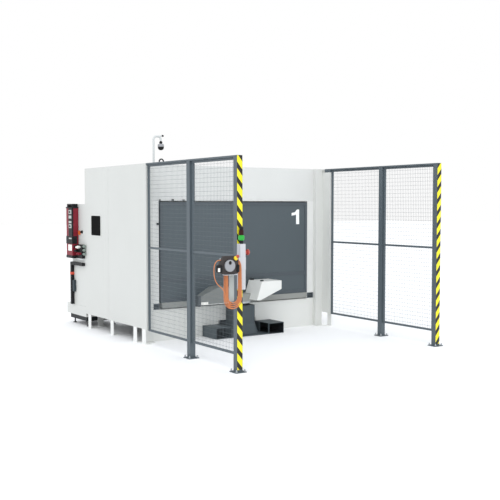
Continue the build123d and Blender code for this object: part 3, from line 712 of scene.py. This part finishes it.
stack_base = tier("stack_base", 0.021, 0.0, 0.036, black_abs)
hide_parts("stack_light")
tier("stack_green", 0.033, 0.036, 0.091, lens_green, 0.009)
tier("stack_red", 0.026, 0.091, 0.146, lens_red, 0.004)
tier("stack_cap", 0.022, 0.146, 0.18, black_abs, 0.006)
bars("hanger_cover", [(-1.665, -1.609, -2.3985, -2.3973, 0.777, 1.098)], holder_grey, "cell")
bars("housing_side_cover", [(-1.526, -1.525, -2.388, -2.331, 0.895, 1.365)], cover_grey, "cell")
print("lamp stack of four tiers")

# %% [markdown]
# The teach pendant hangs on its seat with its back to us: a dark shell, a light
# grey hub with a hand hole above its middle, rubber grips left and right, a small
# stop button on the top corner and a white tag. The hub is a flat plate with a
# hole, which a filled curve of two circles gives at once.

# %% Teach pendant
PENDANT_Y = (-2.494, -2.452)
SHELL = [(-1.838, 1.1), (-1.815, 1.074), (-1.625, 1.07), (-1.612, 1.09), (-1.612, 1.235), (-1.64, 1.256),
         (-1.79, 1.258), (-1.822, 1.21), (-1.838, 1.17)]
pendant_shell = prism("pendant_shell", [SHELL], *PENDANT_Y, pendant_dark, "cell", 0.008)
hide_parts("teach_pendant")


def circle(spline, x, z, radius):
    """Four bezier points make a circle when their handles reach 0.5523 of its radius."""
    spline.bezier_points.add(3)
    reach = 0.5523 * radius
    for point, (dx, dz) in zip(spline.bezier_points, ((1, 0), (0, 1), (-1, 0), (0, -1))):
        point.co = (x + radius * dx, z + radius * dz, 0)
        point.handle_left = point.co + Vector((reach * dz, -reach * dx, 0))
        point.handle_right = point.co - Vector((reach * dz, -reach * dx, 0))
    spline.use_cyclic_u = True


hub_curve = bpy.data.curves.new("pendant_hub", "CURVE")
hub_curve.dimensions = "2D"
hub_curve.fill_mode = "BOTH"
hub_curve.extrude = 0.007
hub_curve.bevel_depth = 0.002
circle(hub_curve.splines.new("BEZIER"), 0, 0, 0.059)
circle(hub_curve.splines.new("BEZIER"), 0.002, 0.03, 0.022)
hub_curve.materials.append(hub_grey)
pendant_hub = bpy.data.objects.new("pendant_hub", hub_curve)
bpy.context.scene.collection.objects.link(pendant_hub)
pendant_hub.matrix_world = Matrix.Translation((-1.727, -2.503, 1.157)) @ AXES["-Y"]
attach(pendant_hub, "cell")
GRIPS = [(-1.872, -1.812, -2.508, -2.458, 1.088, 1.168), (-1.64, -1.606, -2.508, -2.462, 1.085, 1.168)]
bars("pendant_grips", GRIPS, black_abs, "cell", 0.012)
bars("pendant_tag", [(-1.874, -1.848, -2.5105, -2.5085, 1.1, 1.138)], tag_white, "cell", 0.002)
COLLAR = [(0.022, 0.0), (0.022, 0.014), (0.016, 0.018)]
STOP_HEAD = [(0.012, 0.0), (0.018, 0.004), (0.018, 0.014), (0.012, 0.02)]
turned("pendant_stop_collar", COLLAR, [(-1.652, -2.492, 1.232)], "-Y", stop_yellow, "cell")
turned("pendant_stop_head", STOP_HEAD, [(-1.634, -2.497, 1.25)], "-Y", stop_red, "cell")
print("pendant pieces", 6)

# %% [markdown]
# The welding source hangs on the side of the control cabinet. It is a red case with
# a black moulded front that wraps its corner, small display modules on it, a black
# band lower down, a rubber sleeve on the handle and a black foot.

# %% Welding source
SOURCE_X = (-1.625, -1.525)
SOURCE_Y = (1.93, 2.16)
PROUD = 0.004
front_x, near_y, far_y = SOURCE_X[0] - PROUD, SOURCE_Y[0] - PROUD, SOURCE_Y[1] + PROUD
MOULDING = [(front_x, SOURCE_X[0] + 0.018, near_y, 2.066, 1.32, 1.745),
            (front_x, -1.55, near_y, far_y, 1.205, 1.32)]
SLEEVE = [(-1.616, -1.534, 1.94, 2.15, 1.772, 1.794), (-1.616, -1.534, 1.94, 1.966, 1.74, 1.772),
          (-1.616, -1.534, 2.124, 2.15, 1.74, 1.772)]
MODULES_Z = ((1.645, 1.703), (1.578, 1.622), (1.511, 1.541), (1.437, 1.496), (1.276, 1.296))
modules = [(front_x - 0.003, front_x, 1.945, 2.048, z0, z1) for z0, z1 in MODULES_Z]
label_box = (SOURCE_X[0] - 0.002, SOURCE_X[0] - 0.0002, 1.95, 2.085, 1.105, 1.195)
bars("source_front_moulding", MOULDING, black_abs, "cell", 0.006)
bars("source_handle_sleeve", SLEEVE, black_abs, "cell", 0.005)
bars("source_top_rim", [(front_x, -1.527, near_y, far_y, 1.728, 1.748)], black_abs, "cell", 0.004)
bars("source_foot", [(front_x, -1.527, near_y, far_y, 0.996, 1.038)], black_abs, "cell", 0.005)
bars("source_modules", modules, display_grey, "cell", 0.0012)
bars("source_label_place", [label_box], tag_white, "cell")
KNOB = [(0.014, 0.0), (0.014, 0.008), (0.011, 0.011)]
knob_places = [(front_x - 0.003, 1.997, z) for z in (1.675, 1.466)]
turned("source_knobs", KNOB, knob_places, "-X", black_abs, "cell")
print("source modules", len(modules))

# %% [markdown]
# Beside the source sit the main switch, a selector and a box of plugs over a small
# tray. Plugs are turned pieces too: a body, a grip ring and a nose, and one outline
# serves them all. The black trunk below has a red clamp and a rubber sleeve.

# %% Plugs, selector and trunk fittings
PLUG = [(0.017, 0.0), (0.017, 0.02), (0.021, 0.024), (0.021, 0.044), (0.012, 0.05), (0.012, 0.066)]
SELECTOR = [(0.024, 0.0), (0.024, 0.012), (0.016, 0.016), (0.014, 0.03)]
grey_places = [(-1.548, 1.705, z) for z in (1.178, 1.122, 1.066)]
black_places = [(-1.57, 1.845, 1.172), (-1.57, 1.845, 1.11)]
turned("plugs_grey", PLUG, grey_places, "-Y", connector_green, "cell")
turned("plugs_black", PLUG, black_places, "-X", black_abs, "cell", 20)
turned("plug_white", PLUG, [(-1.57, 1.78, 1.165)], "-X", tag_white, "cell", 20)
turned("plug_red", PLUG, [(-1.57, 1.75, 1.07)], "-X", source_red, "cell", 20)
turned("selector", SELECTOR, [(-1.525, 1.795, 1.385)], "-X", black_abs, "cell")
bars("plug_tray", [(-1.572, -1.527, 1.705, 1.88, 0.984, 0.999)], mast_grey, "cell", 0.002)
bars("trunk_clamp", [(-1.5745, -1.526, 2.111, 2.1645, 0.742, 0.78)], clamp_red, "cell", 0.003)
bars("trunk_sleeve", [(-1.562, -1.527, 2.04, 2.113, 0.49, 0.664)], sleeve_blue, "cell", 0.008)
print("plugs", len(grey_places) + len(black_places) + 2)

# %% [markdown]
# The control cabinet stands behind the cabin, flush with its side wall. Its foot is
# a white box, a channel set back under it and four levelling feet; the channel's
# near black is painted shade for the gap under the box. They take the place of two plain blocks.

# %% Foot of the control cabinet
FOOT = [(0.03, 0.0), (0.03, 0.008), (0.01, 0.014), (0.01, 0.078)]
base_box = bars("cabinet_base_box", [(-1.525, -0.975, 1.69, 2.41, 0.145, 0.3)], cabin_white,
                "cell", 0.005)
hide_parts("cabinet_base")
# The channel is real; its near black is painted shade for the gap under the box.
base_channel = bars("cabinet_base_channel", [(-1.5, -1.0, 1.72, 2.33, 0.078, 0.145)], plinth_painted_shade,
                    "cell", 0.004)
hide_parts("cabinet_plinth")
foot_places = [(x, y, 0.0) for x in (-1.45, -1.05) for y in (1.77, 2.28)]
turned("cabinet_feet", FOOT, foot_places, "Z", black_steel, "cell", 20)
print("cabinet feet", len(foot_places))

# %% [markdown]
# The wall is made of sheets that meet at thin joints. One joint is open in the
# solids; the next is only a line of sealant, so a strip a third of a millimetre
# thick shows it. The tinted pane stands flush with its frame.

# %% Wall joints and window pane
WALL_FACE = 1.5254
JOINT_HALF = 0.0002
joints = [(side * WALL_FACE - JOINT_HALF, side * WALL_FACE + JOINT_HALF, 1.018, 1.022, 0.202, 2.298)
          for side in (-1, 1)]
pane = bars("window_pane", [(-1.528, -1.505, 1.1405, 1.4635, 1.346, 1.626)], window_glass, "cell", 0.004)
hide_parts("window_glass")
bars("wall_joint_lines", joints, column_white, "cell")
print("joint lines", len(joints))

# %% [markdown]
# The camera above the roof hangs from its mast's arm by a ball joint. Below the
# joint it has a light collar and a dark dome. All three are half outlines spun
# about one upright axis, so they line up by themselves.

# %% Roof camera
CAMERA_FOOT = (-1.075, 0.2, 2.5)
CAMERA_COLLAR = [(0.016, 0.086), (0.036, 0.08), (0.042, 0.07), (0.042, 0.046), (0.04, 0.044)]
CAMERA_DOME = [(0.041, 0.047), (0.04, 0.03), (0.034, 0.014), (0.022, 0.004), (0.008, 0.0)]
CAMERA_JOINT = [(0.01, 0.082), (0.018, 0.088), (0.022, 0.1), (0.018, 0.112), (0.012, 0.12)]
MAST_CAP = [(0.01, 0.0), (0.013, 0.003), (0.013, 0.022), (0.009, 0.026)]
camera_shell = turned("camera_collar", CAMERA_COLLAR, [CAMERA_FOOT], "Z", hub_grey, "cell")
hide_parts("roof_camera")
turned("camera_dome", CAMERA_DOME, [CAMERA_FOOT], "Z", black_abs, "cell")
turned("camera_joint", CAMERA_JOINT, [CAMERA_FOOT], "Z", black_abs, "cell")
rods("mast_stub", [((-1.135, 0.2, 2.682), (-1.05, 0.2, 2.69))], 0.008, mast_grey, "cell", 16)
turned("mast_cap", MAST_CAP, [(-1.062, 0.2, 2.69)], "X", black_abs, "cell")
print("camera foot at", CAMERA_FOOT)

# %% [markdown]
# The pendant's cable is some nine metres long, because the operator walks with the
# pendant round the bay. Nearly all of it hangs in a hank over the peg. One turn is
# an upright loop with round ends, and a share of a turn gives a point on it. All
# its sizes are kept in millimetres, as they would be measured on the real one.

# %% Cable: sizes and one turn
MM = 0.001
CABLE_D = 9 * MM
HANK_X = -1637 * MM
HANK_Y = -2422 * MM
HANK_TOP = 1250 * MM
HANK_BOTTOM = 690 * MM
OUTER_HALF = 104 * MM


def loop_point(part, half, top, bottom, y):
    """A point on an upright loop with round ends, counted from the middle of its right side."""
    straight = top - bottom - 2 * half
    s = (part % 1.0) * (2 * straight + 2 * math.pi * half)
    low, high = bottom + half, top - half
    if s < straight / 2:
        return Vector((HANK_X + half, y, (low + high) / 2 - s))
    s -= straight / 2
    if s < math.pi * half:
        a = s / half
        return Vector((HANK_X + half * math.cos(a), y, low - half * math.sin(a)))
    s -= math.pi * half
    if s < straight:
        return Vector((HANK_X - half, y, low + s))
    s -= straight
    if s < math.pi * half:
        a = s / half
        return Vector((HANK_X - half * math.cos(a), y, high + half * math.sin(a)))
    return Vector((HANK_X + half, y, high - (s - math.pi * half)))


print("outermost turn", round(2 * OUTER_HALF, 3), "m wide")

# %% [markdown]
# The hank is one line that goes round and round. Its turns lie side by side inwards
# at the back, cross over, and lie side by side outwards again at the front. They
# fan out a little at the bottom, where nothing holds them.

# %% Cable: the hank
REST = 6 * MM
STEP = 11 * MM
LAYER_Y = 8 * MM
FAN_Y = 5 * MM
SWAY = 0.8 * MM
SPREAD = 0.8
LAYER_TURNS = 3.2
TURNS = 7.24
START = 0.21
POINTS_PER_TURN = 24


def hank_point(t):
    """The hank's line after t turns: it packs inwards at the back, then outwards again at the front."""
    inset = STEP * max(0.0, min(t, LAYER_TURNS) - max(0.0, t - LAYER_TURNS - 1))
    front = max(0.0, min(1.0, t - LAYER_TURNS))
    part = START + t
    fan = 0.5 - 0.5 * math.cos(2 * math.pi * (part + 0.25))
    y = HANK_Y + (1 - 2 * front) * (LAYER_Y + FAN_Y * fan) + SWAY * math.sin(5 * t)
    top, bottom = HANK_TOP - REST - inset, HANK_BOTTOM + REST + inset
    point = loop_point(part, OUTER_HALF - inset, top, bottom, y)
    point.z += SPREAD * inset * fan ** 3
    return point


hank_line = [hank_point(i / POINTS_PER_TURN) for i in range(int(TURNS * POINTS_PER_TURN) + 1)]
print("hank points", len(hank_line), "from", [round(v, 3) for v in hank_line[0]], "to",
      [round(v, 3) for v in hank_line[-1]])

# %% [markdown]
# The two free ends join the hank to the housing's gland and to the pendant. The
# first drops out of the gland and sweeps under into the bundle. The other leaves
# the hank upwards and bows round into the pendant's side, slack enough that the
# pendant can be lifted off its seat. The whole cable is one smooth spline.

# %% Cable: free ends and the spline
GLAND_END = Vector((-1492.5, -2359.5, 872))
PENDANT_SIDE = Vector((-1819, -2473, 1065))
GLAND_ROUTE = [(0, 0, 0), (0, 0, -20), (-1, -1, -42), (-10, -11, -68), (-28, -28, -90),
               (-52, -44, -108)]
PENDANT_ROUTE = [(49, 46, -142), (9, 40, -119), (-25, 34, -89), (-50, 27, -51), (-65, 20, -9),
                 (-72, 14, 35), (-74, 8, 77), (-69, 3, 111), (-54, 1, 136), (-34, 0, 149),
                 (-15, 0, 151), (0, 0, 151)]
cable_points = [(GLAND_END + Vector(p)) * MM for p in GLAND_ROUTE]
cable_points += hank_line
cable_points += [(PENDANT_SIDE + Vector(p)) * MM for p in PENDANT_ROUTE]

cable_curve = bpy.data.curves.new("pendant_cable", "CURVE")
cable_curve.dimensions = "3D"
cable_curve.bevel_depth = CABLE_D / 2
cable_curve.bevel_resolution = 3
cable_curve.resolution_u = 4
cable_spline = cable_curve.splines.new("NURBS")
cable_spline.points.add(len(cable_points) - 1)
for point, place in zip(cable_spline.points, cable_points):
    point.co = (*place, 1.0)
cable_spline.order_u = 3
cable_spline.use_endpoint_u = True
cable_curve.materials.append(cable_orange)
pendant_cable = bpy.data.objects.new("pendant_cable", cable_curve)
bpy.context.scene.collection.objects.link(pendant_cable)
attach(pendant_cable, "cell")
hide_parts("cable_hank", "cable_end_housing", "cable_end_pendant")

# %% [markdown]
# The cell stands on a pale, matt sheet that catches its soft shadow. It reaches so
# far that its edge melts into the background.

# %% Floor
REACH = 60.0
corners = [(-REACH, -REACH, 0), (REACH, -REACH, 0), (REACH, REACH, 0), (-REACH, REACH, 0)]
floor_mesh = bpy.data.meshes.new("studio_floor")
floor_mesh.from_pydata(corners, [], [(0, 1, 2, 3)])
studio_floor = bpy.data.objects.new("studio_floor", floor_mesh)
bpy.context.scene.collection.objects.link(studio_floor)
floor_paper = new_material("studio_paper_white", "FAFAFA", 0.9)[0]
floor_mesh.materials.append(floor_paper)
print("floor", 2 * REACH, "m wide")

# %% [markdown]
# The sky is plain white where the camera sees it, straight or in a mirror. As a
# light it is a little brighter and cooler, which a light path node tells apart. One
# broad sun from high at the front left gives the front faces their small lead in
# brightness over the sides.

# %% Sky and sun
world = bpy.data.worlds.new("studio_sky")
bpy.context.scene.world = world
world.use_nodes = True
glow = world.node_tree.nodes["Background"]
glow.inputs["Color"].default_value = (0.93, 0.96, 1.0, 1.0)
glow.inputs["Strength"].default_value = 1.22
seen = add_node(world, "ShaderNodeBackground", {"Color": (1.0, 1.0, 1.0, 1.0)})
rays = add_node(world, "ShaderNodeLightPath").outputs
either = add_node(world, "ShaderNodeMath", {"operation": "MAXIMUM"},
                  {0: rays["Is Camera Ray"], 1: rays["Is Glossy Ray"]})
any_ray = add_node(world, "ShaderNodeMath", {"operation": "MAXIMUM"},
                   {0: either.outputs[0], 1: rays["Is Transmission Ray"]})
blend = add_node(world, "ShaderNodeMixShader",
                 links={0: any_ray.outputs[0], 1: glow.outputs[0], 2: seen.outputs[0]})
join(world, blend.outputs[0], world.node_tree.nodes["World Output"].inputs[0])

sun_light = bpy.data.lights.new("key_sun", "SUN")
sun_light.energy = 0.75
sun_light.angle = math.radians(35)
key_sun = bpy.data.objects.new("key_sun", sun_light)
bpy.context.scene.collection.objects.link(key_sun)
sun_aim = Vector((0.0, 0.0, 1.0))
key_sun.location = (-6.0, -8.0, 9.0)
key_sun.rotation_mode = "QUATERNION"
key_sun.rotation_quaternion = (sun_aim - key_sun.location).to_track_quat("-Z", "Y")
bpy.context.scene.view_settings.view_transform = "Standard"
